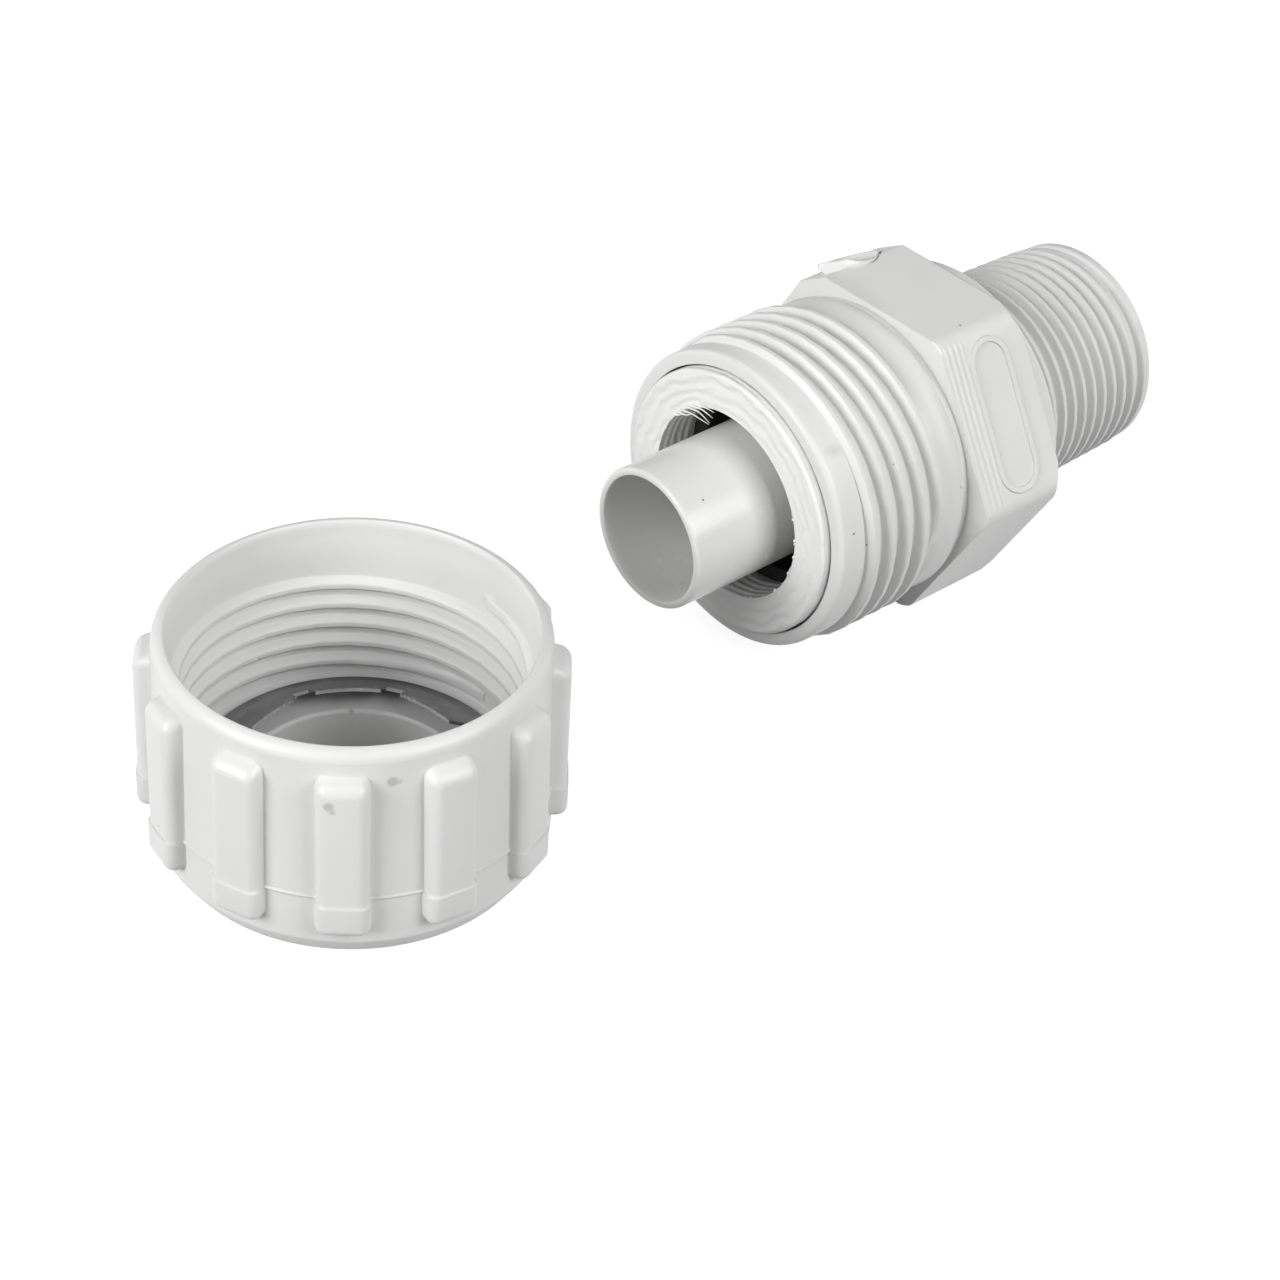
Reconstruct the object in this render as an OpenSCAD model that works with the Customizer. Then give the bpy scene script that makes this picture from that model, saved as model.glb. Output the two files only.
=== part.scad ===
// Compression pipe adapter with its nut taken off. The adapter lies with its axis
// along X on its coarse thread, which stands a little proud of the hexagon. The
// nut stands on its closed end in front of the insert tube. Millimetres, +Z up.
// Origin: middle of the lower flat of the hexagon.

/* [Hexagon] */
// Width over the flats of the wrench hexagon
hex_af = 37.0; // [30:0.1:50]
// Length of the flats
hex_len = 12.8; // [8:0.1:20]
// Rounding radius of the six long edges
hex_edge_r = 2.4; // [0.5:0.1:4]
// Radius of the hexagon corners at the front face
corner_front_r = 20.7; // [17:0.05:28]
// Radius of the hexagon corners at the rear face
corner_rear_r = 20.1; // [17:0.05:28]
// Distance from the axis to the trimmed corner that carries the gate stub
gate_side_r = 20.05; // [18.6:0.05:26]
// Radius of the drum behind the hexagon
drum_r = 17.85; // [15:0.05:24]
// Length of the drum
drum_len = 2.5; // [1:0.1:6]
// Rounding of the rear edge of the drum
drum_round = 0.8; // [0.2:0.1:1.5]
// Length of the groove in front of the hexagon
groove_len = 1.2; // [0.5:0.1:3]
// Depth of the groove below the collar
groove_depth = 0.5; // [0.2:0.05:1]
// Step from the root of the coarse thread up to the collar
collar_step = 0.15; // [0.05:0.05:1]
// Radius that the collar gains towards the groove
collar_rise = 0.4; // [0:0.05:1.5]
// Length of the collar
collar_len = 3.7; // [2:0.1:12]
// Width of the raised frame on the flat that faces the viewer
frame_w = 6.3; // [4:0.1:9]
// Length of the raised frame across that flat
frame_len = 18.8; // [10:0.1:22]
// Height of the raised frame
frame_h = 0.25; // [0.1:0.05:0.6]
// Width of the moulded line of the raised frame
frame_line = 0.7; // [0.4:0.05:1.2]
// Length of the torn gate stub
stub_len = 8.8; // [4:0.1:12]
// Width of the torn gate stub
stub_w = 4.4; // [2:0.1:8]
// Height of the torn gate stub over the trimmed corner
stub_h = 1.25; // [0.5:0.05:3]

/* [Coarse thread] */
// Distance from one coarse ridge to the next, shared by the adapter and the nut
coarse_pitch = 2.6; // [1.5:0.05:4]
// Number of ridges wound side by side
coarse_starts = 2; // [1:1:3]
// Crest radius of the coarse thread on the adapter
coarse_crest_r = 18.95; // [15:0.05:24]
// Height of the coarse ridge
coarse_depth = 1.2; // [0.6:0.05:2]
// Turns of each ridge on the adapter
coarse_turns = 2.42; // [1:0.02:4]
// Angle from straight down at which the first ridge starts on the adapter
coarse_turn = 129.7; // [0.7:3:357]
// Length of the smooth pilot in front of the thread
pilot_len = 3.0; // [1:0.1:6]
// Drop of the pilot below the thread crest
pilot_drop = 0.8; // [0.3:0.05:2]
// Rounding of the outer edge of the front lip
lip_round = 0.7; // [0.2:0.05:1.2]
// Steps of every helical ridge in one turn
steps_per_turn = 36; // [24:4:72]

/* [Male taper thread] */
// Length from the drum to the end of the adapter
male_len = 22.4; // [12:0.5:40]
// Crest radius at the small end
male_end_r = 13.0; // [8:0.1:20]
// Pitch of the taper thread, fourteen threads to the inch
male_pitch = 1.814; // [1:0.001:3]
// Height of the taper ridge
male_depth = 0.95; // [0.5:0.05:1.5]
// Radius gained per millimetre towards the hexagon
male_taper = 0.03125; // [0:0.005:0.06]
// Turns of the taper ridge
male_turns = 11.0; // [6:0.1:16]
// Angle at which the taper ridge starts
male_turn = 209; // [1:2:359]
// Length of the plain band at the end
end_band = 2.1; // [1:0.1:5]

/* [Inside of the adapter] */
// Radius of the waterway at the seat of the insert tube
waterway_r = 7.5; // [4:0.1:12]
// Radius of the waterway at the threaded end
outlet_r = 8.8; // [5:0.1:12]
// Length of the parallel part of the waterway at the threaded end
outlet_len = 12; // [6:0.5:20]
// Depth of the seal chamber behind the front lip
chamber_depth = 16.5; // [10:0.5:22]
// Wall left between the seal chamber and the root of the coarse thread
chamber_wall = 1.3; // [1:0.05:3]
// Depth of the pipe pocket behind the seal chamber
pocket_depth = 13; // [6:0.5:20]
// Depth of the seat of the insert tube
tube_seat = 6; // [3:0.5:10]

/* [Insert tube] */
// Outside radius of the insert tube, which goes inside the pipe
tube_r = 8.55; // [5:0.05:14]
// Wall of the insert tube
tube_wall = 1.0; // [0.6:0.05:2]
// Length that stands out of the front lip
tube_out = 12.95; // [4:0.1:30]

/* [Pusher ring and seal] */
// Outside radius of the pipe that the fitting takes
pipe_r = 11.1; // [6:0.05:16]
// Gap between the pipe and the bore of the pusher ring
pipe_gap = 0.55; // [0.1:0.05:1]
// Length of the pusher ring
pusher_len = 10.4; // [5:0.1:14]
// Length that the pusher ring stands out of the lip
pusher_out = 1.05; // [0:0.1:4]
// Gap between the pusher ring and the chamber
pusher_gap = 0.25; // [0.1:0.05:0.6]
// Length of the narrow front part of the pusher bore
pusher_step = 7.4; // [3:0.1:10]
// Bevel of the front edge of the pusher ring
pusher_bevel = 0.35; // [0.1:0.05:1]

/* [Nut] */
// Height of the nut
nut_h = 26.9; // [18:0.1:40]
// Radius of the nut wall near the floor
nut_r = 21.4; // [16:0.1:30]
// Draft of the nut wall over its height
nut_draft = 0.4; // [0:0.05:1.5]
// Height of the bevel at the bottom edge
nut_foot = 2.1; // [0.5:0.1:4]
// Radius lost by the bevel at the bottom edge
nut_foot_in = 1.5; // [0.5:0.1:4]
// Outward rounding of the rim
rim_round = 1.35; // [0.5:0.05:2]
// Number of grip ribs
ribs = 12; // [6:1:20]
// Radius over the ribs
rib_r = 23.0; // [18:0.1:32]
// Width of a rib
rib_w = 5.5; // [2:0.1:9]
// Rounding of the outer edges of a rib
rib_edge = 0.9; // [0.3:0.05:1.5]
// Height of the lower end of the ribs
rib_z = 4.5; // [1:0.1:8]
// Height of the upper end of the ribs
rib_top = 25.2; // [12:0.1:36]
// Height of the mould parting line
parting_z = 8.2; // [4:0.1:16]
// Extra width and radius of the ribs below the parting line
parting_step = 0.12; // [0.05:0.01:0.4]
// Radial gap between the crest of the adapter thread and the nut
nut_gap = 0.15; // [0.1:0.05:0.8]
// Height of the ridges in the nut
nut_depth = 0.85; // [0.4:0.05:2]
// Turns of each ridge in the nut
nut_turns = 2.5; // [1:0.1:4]
// Length of the smooth lead in above the thread
lead_in = 5.4; // [2:0.1:10]
// Thickness of the closed end
nut_floor = 6.5; // [3:0.1:10]
// Gap between the pipe and the hole in the closed end
nut_pipe_gap = 0.9; // [0.2:0.05:2]

/* [Grip ring] */
// Gap between the grip ring and the wall of the nut
grip_gap = 1.5; // [0.2:0.1:3]
// Distance from the centre to the straight edge of each tooth
grip_tooth_r = 11.5; // [8:0.1:16]
// Height of the dish
grip_rise = 3.4; // [1:0.1:6]
// Thickness of the sheet
grip_t = 0.45; // [0.3:0.05:1]
// Number of teeth
grip_teeth = 8; // [4:1:12]
// Width of the slot between two teeth
slot_w = 2.2; // [1:0.1:4]
// Length of the slot from the tooth edge outwards
slot_len = 2.2; // [1:0.1:4]

/* [Placement] */
// Distance from the origin to the middle of the nut
nut_dist = 82.6; // [60:0.1:140]
// Offset of the nut to the side
nut_side = -1.7; // [-30:0.1:30]
// Turn of the nut on the floor
nut_turn = 19.9; // [0:0.1:30]
// Turn of the grip ring in the nut
grip_turn = 10.6; // [0:0.1:45]

/* [Hidden] */
$fn = 96;
axis_z = hex_af / 2;
floor_z = min(0, axis_z - coarse_crest_r);
hex_x0 = -hex_len / 2;
hex_x1 = hex_len / 2;
drum_x1 = hex_x1 + drum_len;
collar_x1 = hex_x0 - groove_len;
root_r = coarse_crest_r - coarse_depth;
pilot_r = coarse_crest_r - pilot_drop;
collar_r_front = root_r + collar_step;
collar_r_rear = collar_r_front + collar_rise;
thread_x1 = collar_x1 - collar_len;
coarse_lead = coarse_pitch * coarse_starts;
thread_x0 = thread_x1 - coarse_turns * coarse_lead;
lip_x = thread_x0 - pilot_len;
chamber_r = root_r - chamber_wall;
chamber_x = lip_x + chamber_depth;
pocket_r = pipe_r + pipe_gap;
pocket_x = chamber_x + pocket_depth;
seat_x = pocket_x + tube_seat;
end_x = drum_x1 + male_len;
male_base_r = male_end_r + male_taper * male_len - male_depth;
pusher_x0 = lip_x - pusher_out;
pusher_x1 = pusher_x0 + pusher_len;
pusher_r = chamber_r - pusher_gap;
slide = 0.05;
ridge_turn = 3.7;
nut_root_r = coarse_crest_r + nut_gap;
nut_hole_r = pipe_r + nut_pipe_gap;
nut_top_r = nut_r - nut_draft;
grip_r = nut_root_r - grip_gap;

// Points of an arc, used for the roundings of turned outlines
function arc(cx, cy, r, a0, a1, n) =
  [for (i = [0 : n]) let (a = a0 + (a1 - a0) * i / n) [cx + r * cos(a), cy + r * sin(a)]];

// Turns children that are drawn along Z so that they run along the adapter axis
module lay(x = 0) {
  translate([x, 0, axis_z]) rotate([0, 90, 0]) children();
}

// One solid ridge wound along Z. A section is [place along the pitch, share of the depth].
// The ridge grows and dies over the given share of a turn. With inward set it points
// to the axis, as in a nut. It leaves room for as many ridges as there are starts.
module helix_ridge(section, r, depth, pitch, turns, taper, fade, inward = false, starts = 1) {
  n = floor(turns * steps_per_turn);
  m = len(section);
  order = [for (j = [0 : m - 1]) section[inward ? m - 1 - j : j]];
  pts = [for (i = [0 : n])
    let (t = i / steps_per_turn, k = max(0.08, min(1, i / (fade * steps_per_turn),
           (n - i) / (fade * steps_per_turn))))
    for (q = order)
      let (z = (t * starts + q[0]) * pitch,
           h = (q[1] > 0 ? q[1] * k : q[1]) * depth,
           rr = r + (inward ? -h : h) - taper * z)
      [rr * cos(360 * t), rr * sin(360 * t), z]];
  side = [for (i = [0 : n - 1], j = [0 : m - 1])
    let (a = i * m + j, b = i * m + (j + 1) % m)
    each [[a, b, b + m], [a, b + m, a + m]]];
  first = [for (j = [1 : m - 2]) [0, j + 1, j]];
  last = [for (j = [1 : m - 2]) [n * m, n * m + j, n * m + j + 1]];
  polyhedron(points = pts, faces = concat(first, side, last), convexity = 12);
}

// Rounded ridge of the coarse thread
coarse_section = [[-0.40, -0.35], [-0.25, 0.6], [-0.11, 1], [0.11, 1], [0.25, 0.6], [0.40, -0.35]];
// Flatter ridge of the taper thread
male_section = [[-0.44, -0.3], [-0.13, 1], [0.13, 1], [0.44, -0.3]];

// Hexagon prism along Z with rounded long edges, one flat towards -X
module hex_prism(h, apothem, edge) {
  step = (apothem - edge) / cos(30);
  half = (apothem - edge) * tan(30);
  linear_extrude(height = h) polygon([for (k = [0 : 5])
    let (c = cos(60 * k), s = sin(60 * k))
    each [[apothem * c + half * s, apothem * s - half * c],
          [apothem * c - half * s, apothem * s + half * c]]]);
  for (k = [0 : 5])
    rotate([0, 0, 60 * k + 30])
      translate([step, 0, 0])
        cylinder(h = h, r = edge);
}

// Wrench hexagon, its corners turned down a little at both ends and one of them
// trimmed along its whole length
module hexagon() {
  lay(hex_x0) difference() {
    intersection() {
      hex_prism(hex_len, axis_z, hex_edge_r);
      rotate_extrude() polygon([
        [0, 0],
        [corner_front_r, 0],
        [corner_front_r + 0.8, 0.6],
        [corner_front_r + 0.8, hex_len - corner_front_r - 0.8 + corner_rear_r],
        [corner_rear_r, hex_len],
        [0, hex_len]]);
    }
    rotate([0, 0, 150]) translate([gate_side_r, -hex_af / 2, -1])
      cube([hex_af, hex_af, hex_len + 2]);
  }
}

// Raised frame with round ends on the flat that faces the viewer
module label_frame() {
  straight = frame_len - frame_w;
  translate([0.25, 0, axis_z]) rotate([60, 0, 0]) translate([0, 0.2, axis_z - 0.5])
    linear_extrude(height = 0.5 + frame_h) difference() {
      union() {
        square([frame_w, straight], center = true);
        for (s = [-1, 1]) translate([0, s * straight / 2]) circle(d = frame_w);
      }
      square([frame_w - 2 * frame_line, straight], center = true);
      for (s = [-1, 1])
        translate([0, s * straight / 2]) circle(d = frame_w - 2 * frame_line);
    }
}

// Torn stub of the moulding gate on the trimmed corner: a pointed boss with a scooped top
module gate_stub() {
  bend = (stub_len * stub_len + stub_w * stub_w) / (4 * stub_w);
  translate([0, 0, axis_z]) rotate([-30, 0, 0]) translate([-0.3, -0.7, gate_side_r])
    difference() {
      intersection() {
        boss_side(1, bend);
        boss_side(-1, bend);
      }
      translate([0.3, -0.5, 2.25]) rotate([0, 90, 0]) rotate_extrude()
        polygon([for (a = [-90 : 15 : 90]) [2.4 * cos(a), 0.38 * stub_len * sin(a)]]);
    }
}

// One half of the pointed boss
module boss_side(side, bend) {
  translate([0, side * (bend - stub_w / 2), -2])
    cylinder(h = 2 + stub_h, r1 = bend + 0.4, r2 = bend);
}

// Outside of the adapter in front of the hexagon, turned
module front_outline() {
  lay() rotate_extrude() polygon(concat(
    [[0, lip_x], [pilot_r - lip_round, lip_x]],
    arc(pilot_r - lip_round, lip_x + lip_round, lip_round, -60, 0, 3),
    [[pilot_r, thread_x0 + 0.6],
     [root_r, thread_x0 + 1.0],
     [root_r, thread_x1],
     [collar_r_front, thread_x1 + 0.2],
     [collar_r_rear, collar_x1 - 0.15],
     [collar_r_rear - 0.1, collar_x1],
     [collar_r_rear - groove_depth, collar_x1 + 0.3],
     [collar_r_rear - groove_depth, hex_x0 + 1],
     [0, hex_x0 + 1]]));
}

// Drum behind the hexagon, core of the taper thread and end band, turned
module male_outline() {
  lay() rotate_extrude() polygon(concat(
    [[0, hex_x1 - 1], [drum_r + 0.1, hex_x1 - 1]],
    [for (p = arc(drum_x1 - drum_round, drum_r - drum_round, drum_round, 90, 0, 4)) [p[1], p[0]]],
    [[male_base_r, drum_x1],
     [male_base_r - male_taper * (male_len - end_band), end_x - end_band],
     [male_end_r - 0.1, end_x - end_band + 0.35],
     [male_end_r - 0.15, end_x - 0.8],
     [male_end_r - 0.85, end_x],
     [0, end_x]]));
}

// Seal chamber, pipe pocket, tube seat and waterway, turned
module adapter_hollow() {
  lay() rotate_extrude() polygon([
    [0, lip_x - 1],
    [chamber_r, lip_x - 1],
    [chamber_r, chamber_x],
    [pocket_r, chamber_x],
    [pocket_r, pocket_x],
    [tube_r + slide, pocket_x],
    [tube_r + slide, seat_x],
    [waterway_r, seat_x],
    [waterway_r, end_x - outlet_len - 2],
    [outlet_r, end_x - outlet_len],
    [outlet_r, end_x + 1],
    [0, end_x + 1]]);
}

module adapter_body() {
  color([0.86, 0.86, 0.85]) difference() {
    union() {
      front_outline();
      hexagon();
      male_outline();
      label_frame();
      gate_stub();
      for (k = [0 : coarse_starts - 1])
        lay(thread_x0) rotate([0, 0, coarse_turn + 360 / coarse_starts * k])
          helix_ridge(coarse_section, root_r, coarse_depth, coarse_pitch, coarse_turns, 0, 0.06,
            false, coarse_starts);
      lay(drum_x1 + 0.3)
        rotate([0, 0, male_turn])
          helix_ridge(male_section, male_base_r, male_depth, male_pitch, male_turns, male_taper, 0.25);
    }
    adapter_hollow();
  }
}

module insert_tube() {
  mouth = lip_x - tube_out;
  inner = tube_r - tube_wall;
  color([0.82, 0.82, 0.80]) lay() rotate_extrude() polygon(concat(
    [[inner, mouth + 0.45], [inner + 0.12, mouth + 0.12], [inner + 0.4, mouth]],
    arc(tube_r - 0.5, mouth + 0.5, 0.5, -70, 0, 3),
    [[tube_r, seat_x], [inner, seat_x]]));
}

module pusher_ring() {
  color([0.9, 0.9, 0.88]) lay() rotate_extrude() polygon([
    [pocket_r, pusher_x0],
    [pusher_r - pusher_bevel, pusher_x0],
    [pusher_r, pusher_x0 + pusher_bevel],
    [pusher_r, pusher_x1],
    [pocket_r + 0.5, pusher_x1],
    [pocket_r + 0.5, pusher_x0 + pusher_step],
    [pocket_r, pusher_x0 + pusher_step - 0.3]]);
}

module seal_ring() {
  color([0.07, 0.07, 0.07]) lay() rotate_extrude() polygon([
    [pocket_r + 1.2, pusher_x1],
    [chamber_r - slide, pusher_x1],
    [chamber_r - slide, chamber_x],
    [pipe_r + 0.1, chamber_x],
    [pipe_r + 0.1, pusher_x1 + 1.3]]);
}

// One grip rib with rounded outer edges, standing at +X
module rib(z0, z1, w, r_out) {
  inside = nut_top_r - 1;
  top = 1.0;
  flat = r_out - rib_edge;
  half = w / 2 - rib_edge;
  intersection() {
    union() {
      translate([inside, -w / 2, z0]) cube([flat - inside, w, z1 - z0]);
      translate([inside, -half, z0]) cube([r_out - inside, 2 * half, z1 - z0]);
      for (s = [-1, 1])
        translate([flat, s * half, z0]) cylinder(h = z1 - z0, r = rib_edge, $fn = 48);
    }
    rotate_extrude() polygon([
      [inside - 1, z0],
      [r_out - 0.9, z0],
      [r_out, z0 + 0.6],
      [r_out, z1 - top],
      [r_out - 0.35, z1 - 0.35 * top],
      [r_out - 1.1, z1],
      [inside - 1, z1]]);
  }
}

module nut_outline() {
  rim = nut_root_r + 0.4;
  rotate_extrude() polygon(concat(
    [[nut_hole_r, 0],
     [nut_r - nut_foot_in, 0],
     [nut_r - 0.1, nut_foot],
     [nut_r, nut_foot + 0.3],
     [nut_top_r, nut_h - rim_round]],
    arc(nut_top_r - rim_round, nut_h - rim_round, rim_round, 15, 90, 5),
    [[rim + 0.15, nut_h],
     [rim, nut_h - 0.2],
     [rim - 0.1, nut_h - 1.7],
     [nut_root_r + 0.1, nut_h - 3.3],
     [nut_root_r, nut_h - lead_in],
     [nut_root_r, nut_floor],
     [nut_hole_r + 0.3, nut_floor],
     [nut_hole_r, nut_floor - 0.3]]));
}

module parting_line() {
  bead = parting_step;
  r = nut_r - nut_draft * parting_z / nut_h;
  translate([0, 0, parting_z])
    rotate_extrude() polygon([[r - 0.3, -bead], [r + bead, -bead], [r + bead, bead], [r - 0.3, bead]]);
}

module coupling_nut() {
  color([0.87, 0.87, 0.86]) translate([-nut_dist, nut_side, floor_z]) {
    nut_outline();
    parting_line();
    for (k = [0 : ribs - 1]) rotate([0, 0, nut_turn + 360 / ribs * k]) {
      rib(parting_z, rib_top, rib_w, rib_r);
      rib(rib_z, parting_z, rib_w + 2 * parting_step, rib_r + parting_step);
    }
    for (k = [0 : coarse_starts - 1])
      translate([0, 0, nut_floor + coarse_pitch * 0.5])
        rotate([0, 0, ridge_turn + 360 / coarse_starts * k])
          helix_ridge(coarse_section, nut_root_r, nut_depth, coarse_pitch, nut_turns, 0, 0.1,
            true, coarse_starts);
  }
}

module grip_ring() {
  flat = grip_r - 0.6;
  tip = grip_tooth_r - 0.6;
  color([0.6, 0.61, 0.62]) translate([-nut_dist, nut_side, floor_z + nut_floor])
    rotate([0, 0, grip_turn]) difference() {
      rotate_extrude() polygon([
        [grip_r, 0], [grip_r, grip_t], [flat, grip_t + 0.1],
        [tip, grip_rise + grip_t], [tip, grip_rise], [flat, 0]]);
      translate([0, 0, -1]) rotate([0, 0, 180 / grip_teeth])
        cylinder(h = grip_rise + 3, r = grip_tooth_r / cos(180 / grip_teeth), $fn = grip_teeth);
      for (k = [0 : grip_teeth - 1]) rotate([0, 0, 360 / grip_teeth * (k + 0.5)])
        translate([0, -slot_w / 2, -1]) cube([grip_tooth_r + slot_len, slot_w, grip_rise + 3]);
    }
}

adapter_body();
insert_tube();
pusher_ring();
seal_ring();
coupling_nut();
grip_ring();
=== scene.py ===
# %% [markdown]
# A pipe fitting and its loose nut, dressed for a studio picture.
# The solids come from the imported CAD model. Blender adds what a close look shows:
# smooth moulded skins, torn plastic, tool marks, specks and the light. Every length
# is in metres and stands in the same frame as the CAD model, so nothing is fitted.

# %% Load the frame and keep its box
import math

import bpy
from mathutils import Matrix, Vector


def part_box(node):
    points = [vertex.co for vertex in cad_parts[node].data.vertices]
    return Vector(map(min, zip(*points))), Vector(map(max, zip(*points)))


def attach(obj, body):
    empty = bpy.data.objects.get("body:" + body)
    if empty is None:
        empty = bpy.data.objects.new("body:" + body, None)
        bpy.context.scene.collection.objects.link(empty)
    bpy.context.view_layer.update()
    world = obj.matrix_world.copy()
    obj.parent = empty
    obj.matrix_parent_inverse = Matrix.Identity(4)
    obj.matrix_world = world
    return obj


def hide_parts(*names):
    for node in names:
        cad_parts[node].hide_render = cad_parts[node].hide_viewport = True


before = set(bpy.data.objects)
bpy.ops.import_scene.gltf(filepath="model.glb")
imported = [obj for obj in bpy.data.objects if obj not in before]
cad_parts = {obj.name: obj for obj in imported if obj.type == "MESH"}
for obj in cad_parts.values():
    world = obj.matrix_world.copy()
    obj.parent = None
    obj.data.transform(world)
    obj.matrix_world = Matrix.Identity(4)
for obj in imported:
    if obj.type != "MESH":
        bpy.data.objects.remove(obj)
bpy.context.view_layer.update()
MM = 0.001
print("nodes:", sorted(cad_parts))

# %% [markdown]
# The camera stands where the photographer's stood. A long lens keeps both pieces
# nearly free of perspective. The picture was also turned a few degrees, so the
# camera rolls about its own line of sight. Depth of field stays off.

# %% Camera at the angle of the photograph
LOOK_AT = Vector((-60.07, -21.29, 26.27)) * MM
TO_CAMERA = Vector((-0.5500, -0.5817, 0.5993)).normalized()
CAMERA_DISTANCE = 344.1 * MM
CAMERA_ROLL = math.radians(3.61)
LENS = 92.8

camera_data = bpy.data.cameras.new("studio_camera")
camera_data.lens = LENS
camera_data.sensor_width = 36.0
camera_data.clip_start = 0.01
camera_data.clip_end = 20.0
camera = bpy.data.objects.new("studio_camera", camera_data)
bpy.context.scene.collection.objects.link(camera)
camera.rotation_mode = "QUATERNION"
aim = (-TO_CAMERA).to_track_quat("-Z", "Y")
roll = Matrix.Rotation(CAMERA_ROLL, 4, "Z").to_quaternion()
camera.rotation_quaternion = aim @ roll
camera.location = LOOK_AT + TO_CAMERA * CAMERA_DISTANCE
bpy.context.scene.camera = camera
print("camera at mm:", [round(v / MM, 1) for v in camera.location])

# %% [markdown]
# Every light and every finish below is a tree of nodes. Four helpers keep those
# trees short: one adds a node with its settings, one links two sockets, one does
# sums, and one tells which kinds of ray are asking.


# %% Helpers for node trees
def add_node(tree, kind, at=(0, 0), **settings):
    """Adds a node and sets its plain settings and unlinked inputs by name."""
    made = tree.nodes.new(kind)
    made.location = at
    for key, value in settings.items():
        if hasattr(made, key):
            setattr(made, key, value)
        else:
            made.inputs[key.replace("_", " ")].default_value = value
    return made


def join(tree, source, target):
    """Links the output socket source to the input socket target."""
    tree.links.new(source, target)


def compute(tree, operation, *terms, at=(0, 0)):
    """Adds a Math node on sockets or plain numbers and returns its result."""
    made = add_node(tree, "ShaderNodeMath", at, operation=operation)
    for socket, term in zip(made.inputs, terms):
        if isinstance(term, (int, float)):
            socket.default_value = term
        else:
            join(tree, term, socket)
    return made.outputs[0]


def seen_by(tree, *rays):
    """Gives 1 for the two kinds of ray that are named and 0 for all others."""
    path = add_node(tree, "ShaderNodeLightPath", (-420, 200))
    return compute(tree, "MAXIMUM", *(path.outputs[ray] for ray in rays), at=(-220, 200))


print("helpers ready in Blender", bpy.app.version_string)

# %% [markdown]
# A picture of white plastic on white is all about shading. The world gives a pale
# even light, one large panel stands far to the left and a second one hangs to the
# right in front of the pieces. Two weak ones stand low on the other sides, for the
# views from the back. Camera rays that miss the floor see plain white.

# %% World light and white background
WHITE = (1, 1, 1, 1)
WORLD_LIGHT = 0.25

world = bpy.data.worlds.new("studio_world")
bpy.context.scene.world = world
world.use_nodes = True
sky = world.node_tree
sky.nodes.clear()
soft_light = add_node(sky, "ShaderNodeBackground", (0, 0), Color=WHITE, Strength=WORLD_LIGHT)
plain_white = add_node(sky, "ShaderNodeBackground", (0, -160), Color=WHITE, Strength=1.0)
choose = add_node(sky, "ShaderNodeMixShader", (220, 0))
join(sky, seen_by(sky, "Is Camera Ray", "Is Transmission Ray"), choose.inputs[0])
join(sky, soft_light.outputs[0], choose.inputs[1])
join(sky, plain_white.outputs[0], choose.inputs[2])
sky_out = add_node(sky, "ShaderNodeOutputWorld", (420, 0))
join(sky, choose.outputs[0], sky_out.inputs["Surface"])
bpy.context.scene.view_settings.view_transform = "Standard"
print("world strength:", WORLD_LIGHT)

# %% Soft panels that light the pieces
MIDDLE = Vector((-0.03, 0.0, 0.02))
PANEL_SIZE = 0.50


def light_panel(name, place, watts):
    """A square area light at place that faces the middle of the pieces."""
    data = bpy.data.lights.new(name, "AREA")
    data.shape = "SQUARE"
    data.size = PANEL_SIZE
    data.energy = watts
    panel = bpy.data.objects.new(name, data)
    bpy.context.scene.collection.objects.link(panel)
    panel.rotation_mode = "QUATERNION"
    panel.rotation_quaternion = (MIDDLE - Vector(place)).to_track_quat("-Z", "Y")
    panel.location = place
    print(name, "at", place, "power", watts, "W")


light_panel("left_panel", (-0.80, 0.05, 0.40), 6.2)
light_panel("right_panel", (0.12, -0.74, 0.54), 5.6)
light_panel("far_panel", (-0.30, 0.85, 0.10), 1.6)
light_panel("end_panel", (0.85, -0.05, 0.10), 1.6)

# %% [markdown]
# The floor is one large sheet just under the nut. Its paper is a middle grey, so
# that it throws little light back at the undersides. For camera and glossy rays it
# also glows, which makes it white in the picture and in the steel, and the soft
# shadow of the pieces stays on it.

# %% Pale floor that keeps the shadow
FLOOR_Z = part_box("coupling_nut")[0].z - 0.02 * MM
FLOOR_SIZE = 6.0
PAPER_TONE = (0.24, 0.24, 0.24, 1)
PAPER_GLOW = 0.89

bpy.ops.object.select_all(action="DESELECT")
bpy.ops.mesh.primitive_plane_add(size=FLOOR_SIZE, location=(0, 0, FLOOR_Z))
floor = bpy.context.active_object
floor.name = "studio_floor"
floor_look = bpy.data.materials.new("pale_floor")
floor_look.use_nodes = True
sheet = floor_look.node_tree
sheet.nodes.clear()
paper = add_node(sheet, "ShaderNodeBsdfDiffuse", (0, 0), Color=PAPER_TONE)
glow = add_node(sheet, "ShaderNodeEmission", (0, -160))
shows = seen_by(sheet, "Is Camera Ray", "Is Glossy Ray")
join(sheet, compute(sheet, "MULTIPLY", shows, PAPER_GLOW, at=(-60, -320)), glow.inputs["Strength"])
both = add_node(sheet, "ShaderNodeAddShader", (220, 0))
join(sheet, paper.outputs[0], both.inputs[0])
join(sheet, glow.outputs[0], both.inputs[1])
sheet_out = add_node(sheet, "ShaderNodeOutputMaterial", (420, 0))
join(sheet, both.outputs[0], sheet_out.inputs["Surface"])
floor.data.materials.append(floor_look)
print("floor at mm:", round(FLOOR_Z / MM, 2))

# %% [markdown]
# The mouldings are white plastic that came out of a steel tool. Their colour
# wanders a little, a few dark specks lie in it, the skin has sunk here and there,
# and the tool left a faint grain. The four plastics share one node group for that,
# each with its own amounts. The group reads a point in millimetres, so every size
# in it is a real size.


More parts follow.
